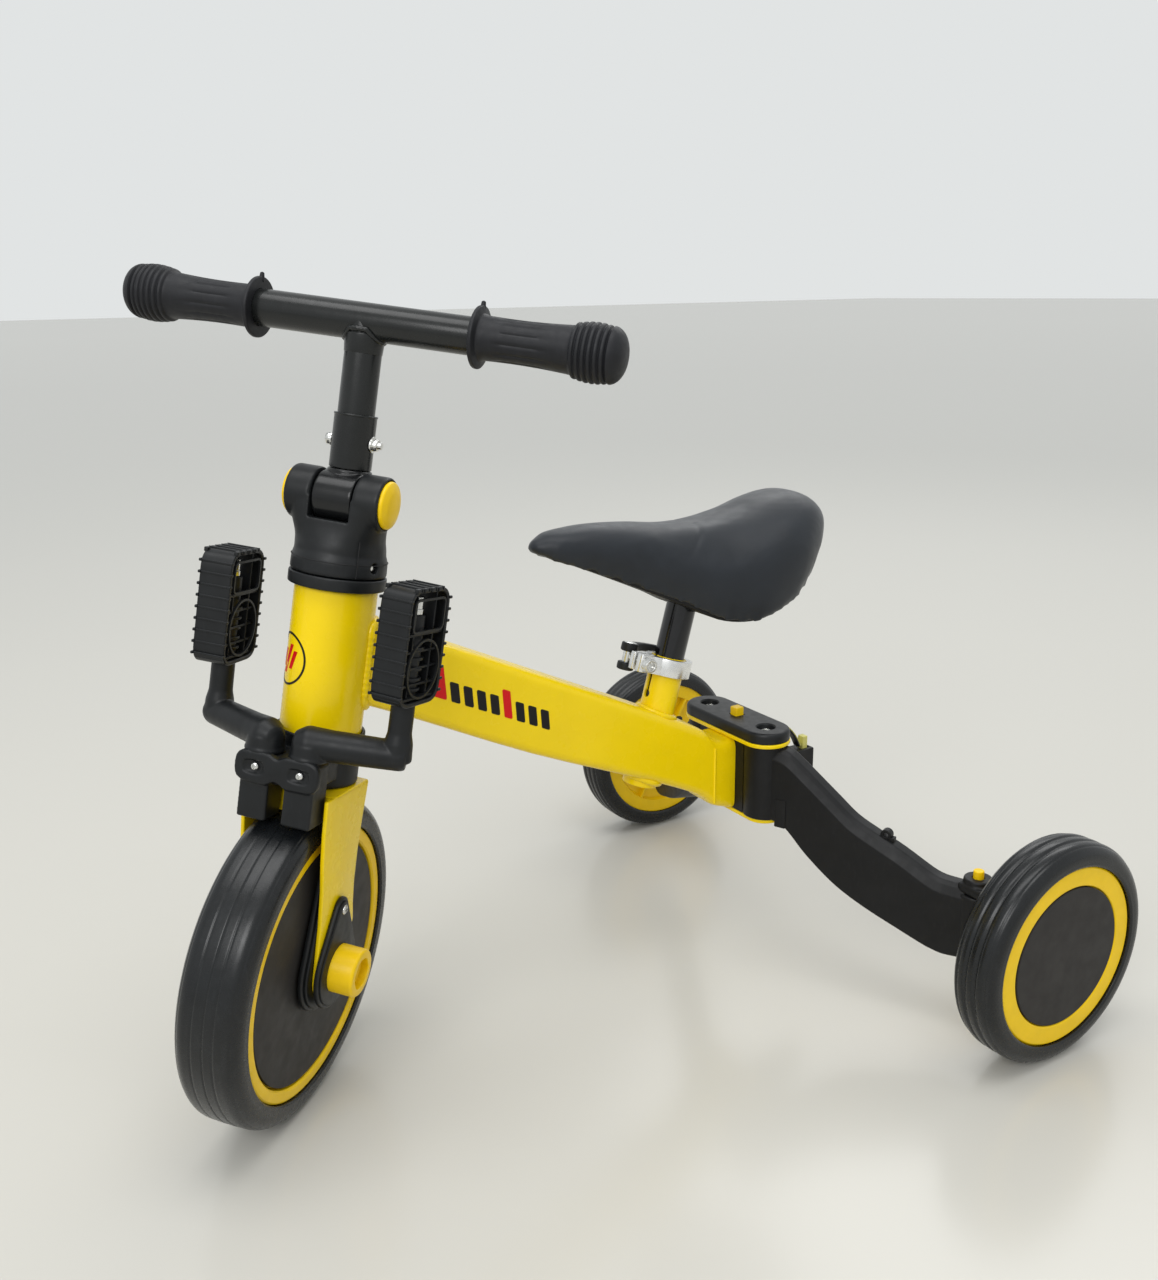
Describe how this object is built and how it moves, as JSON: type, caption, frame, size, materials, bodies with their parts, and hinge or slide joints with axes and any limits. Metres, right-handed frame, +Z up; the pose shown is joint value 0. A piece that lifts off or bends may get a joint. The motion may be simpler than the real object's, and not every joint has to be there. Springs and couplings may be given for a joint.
{
  "type": "children's tricycle",
  "caption": "Children's folding tricycle with steered front wheel, folding handlebar, stored pedals, padded saddle on a clamped post and swinging rear arms with wheels.",
  "frame": {"origin": "middle of the bounding box's bottom, on the floor", "axes": "+X forward along the main tube, +Y to the rider's left, +Z up"},
  "size_m": [0.7008, 0.5658, 0.6051],
  "materials": {
    "yellow_paint": "glossy powder coat",
    "yellow_plastic": "smooth satin",
    "black_plastic": "satin moulded",
    "grey_plastic": "flat dark grey",
    "tyre_foam": "satin foam rubber",
    "grip_rubber": "soft matte",
    "black_steel": "satin black coat",
    "bright_steel": "bright zinc plating",
    "aluminium": "satin",
    "saddle_cover": "soft padded cover"
  },
  "bodies": {
    "frame": {"head_tube": "yellow_paint", "head_bush": "black_plastic", "main_tube": "yellow_paint", "bracket_top_plate": "yellow_paint", "bracket_bottom_plate": "yellow_paint", "pivot_cover": "black_plastic", "pivot_bolt_left": "bright_steel", "pivot_bolt_right": "bright_steel", "stop_block": "black_plastic", "rear_strap": "black_plastic", "strap_plug": "yellow_plastic", "seat_tube": "yellow_paint", "seat_clamp": "aluminium", "clamp_bolt": "bright_steel"},
    "lock_button": {"lock_button": "yellow_plastic"},
    "clamp_lever": {"clamp_lever": "black_plastic"},
    "seat": {"seat_post": "black_steel", "saddle_base": "black_plastic", "saddle": "saddle_cover"},
    "steering": {"fork": "yellow_paint", "pedal_holder": "black_plastic", "holder_screw_left": "bright_steel", "holder_screw_right": "bright_steel", "dropout_cover_left": "black_plastic", "dropout_cover_right": "black_plastic", "inner_cover_left": "black_plastic", "inner_cover_right": "black_plastic", "head_housing": "black_plastic", "housing_ring": "black_plastic", "fold_pin": "bright_steel"},
    "handlebar_assembly": {"fold_knuckle": "black_plastic", "stem_sleeve": "black_steel", "cross_bolt": "bright_steel", "handlebar": "black_steel", "grip_left": "grip_rubber", "grip_right": "grip_rubber"},
    "fold_cap_left": {"fold_cap_left": "yellow_plastic"},
    "fold_cap_right": {"fold_cap_right": "yellow_plastic"},
    "front_wheel": {"front_tyre": "tyre_foam", "front_rim": "yellow_plastic", "front_disc_left": "grey_plastic", "front_disc_right": "grey_plastic"},
    "crank_left": {"crank_left": "black_plastic"},
    "pedal_left": {"pedal_left": "black_plastic"},
    "rear_arm_left": {"rear_arm_left": "black_plastic"},
    "wheel_carrier_left": {"wheel_carrier_left": "black_plastic", "rear_axle_left": "bright_steel"},
    "wheel_button_left": {"wheel_button_left": "yellow_plastic"},
    "rear_wheel_left": {"rear_tyre_left": "tyre_foam", "rear_rim_left": "yellow_plastic", "rear_disc_left": "grey_plastic"},
    "crank_right": {"crank_right": "black_plastic"},
    "pedal_right": {"pedal_right": "black_plastic"},
    "rear_arm_right": {"rear_arm_right": "black_plastic"},
    "wheel_carrier_right": {"wheel_carrier_right": "black_plastic", "rear_axle_right": "bright_steel"},
    "wheel_button_right": {"wheel_button_right": "yellow_plastic"},
    "rear_wheel_right": {"rear_tyre_right": "tyre_foam", "rear_rim_right": "yellow_plastic", "rear_disc_right": "grey_plastic"}
  },
  "joints": [
    {"name": "steering", "type": "hinge", "parent": "frame", "child": "steering", "pos_m": [0.2472, 0, 0.11919], "axis": [-0.1891, 0, 0.982], "range_deg": [-88, 7]},
    {"name": "handlebar_fold", "type": "hinge", "parent": "steering", "child": "handlebar_assembly", "pos_m": [0.18941, 0.00546, 0.45024], "axis": [-0.6697, 0.7314, -0.129], "range_deg": [0, 90]},
    {"name": "fold_cap_left_press", "type": "slide", "parent": "steering", "child": "fold_cap_left", "axis": [0.6697, -0.7314, 0.129], "range_m": [0, 0.003], "stiffness_N_per_m": 400},
    {"name": "fold_cap_right_press", "type": "slide", "parent": "steering", "child": "fold_cap_right", "axis": [-0.6697, 0.7314, -0.129], "range_m": [0, 0.003], "stiffness_N_per_m": 400},
    {"name": "front_wheel_spin", "type": "hinge", "parent": "steering", "child": "front_wheel", "pos_m": [0.25108, 0.00368, 0.11994], "axis": [-0.6697, 0.7314, -0.129], "continuous": true},
    {"name": "seat_height", "type": "slide", "parent": "frame", "child": "seat", "axis": [-0.2756, 0, 0.9613], "range_m": [-0.025, 0.04]},
    {"name": "clamp_lever_turn", "type": "hinge", "parent": "frame", "child": "clamp_lever", "pos_m": [-0.06, -0.019, 0.28874], "axis": [-0.2756, 0, 0.9613], "range_deg": [0, 150]},
    {"name": "lock_button_press", "type": "slide", "parent": "frame", "child": "lock_button", "axis": [0, 0, -1], "range_m": [0, 0.003], "stiffness_N_per_m": 300},
    {"name": "crank_left_lift", "type": "slide", "parent": "steering", "child": "crank_left", "axis": [-0.1891, 0, 0.982], "range_m": [0, 0.04]},
    {"name": "pedal_left_spin", "type": "hinge", "parent": "crank_left", "child": "pedal_left", "pos_m": [0.22217, 0.07528, 0.11437], "axis": [-0.1891, 0, 0.982], "continuous": true},
    {"name": "rear_arm_left_fold", "type": "hinge", "parent": "frame", "child": "rear_arm_left", "pos_m": [-0.1624, 0.039, 0], "axis": [0, 0, 1], "range_deg": [0, 66]},
    {"name": "wheel_left_swivel", "type": "hinge", "parent": "rear_arm_left", "child": "wheel_carrier_left", "pos_m": [-0.2364, 0.212, 0], "axis": [0, 0, 1], "range_deg": [-66, 0]},
    {"name": "wheel_button_left_press", "type": "slide", "parent": "wheel_carrier_left", "child": "wheel_button_left", "axis": [0, 0, -1], "range_m": [0, 0.003], "stiffness_N_per_m": 300},
    {"name": "rear_wheel_left_spin", "type": "hinge", "parent": "wheel_carrier_left", "child": "rear_wheel_left", "pos_m": [-0.2604, 0.2638, 0.09], "axis": [0, 1, 0], "continuous": true},
    {"name": "crank_right_lift", "type": "slide", "parent": "steering", "child": "crank_right", "axis": [-0.1891, 0, 0.982], "range_m": [0, 0.04]},
    {"name": "pedal_right_spin", "type": "hinge", "parent": "crank_right", "child": "pedal_right", "pos_m": [0.3088, -0.03497, 0.13106], "axis": [-0.1891, 0, 0.982], "continuous": true},
    {"name": "rear_arm_right_fold", "type": "hinge", "parent": "frame", "child": "rear_arm_right", "pos_m": [-0.1624, -0.039, 0], "axis": [0, 0, -1], "range_deg": [0, 66]},
    {"name": "wheel_right_swivel", "type": "hinge", "parent": "rear_arm_right", "child": "wheel_carrier_right", "pos_m": [-0.2364, -0.212, 0], "axis": [0, 0, -1], "range_deg": [-66, 0]},
    {"name": "wheel_button_right_press", "type": "slide", "parent": "wheel_carrier_right", "child": "wheel_button_right", "axis": [0, 0, -1], "range_m": [0, 0.003], "stiffness_N_per_m": 300},
    {"name": "rear_wheel_right_spin", "type": "hinge", "parent": "wheel_carrier_right", "child": "rear_wheel_right", "pos_m": [-0.2604, -0.2638, 0.09], "axis": [0, 1, 0], "continuous": true}
  ],
  "couplings": [
    {"joint": "wheel_left_swivel", "follows": "rear_arm_left_fold", "ratio": -1},
    {"joint": "wheel_right_swivel", "follows": "rear_arm_right_fold", "ratio": -1}
  ]
}
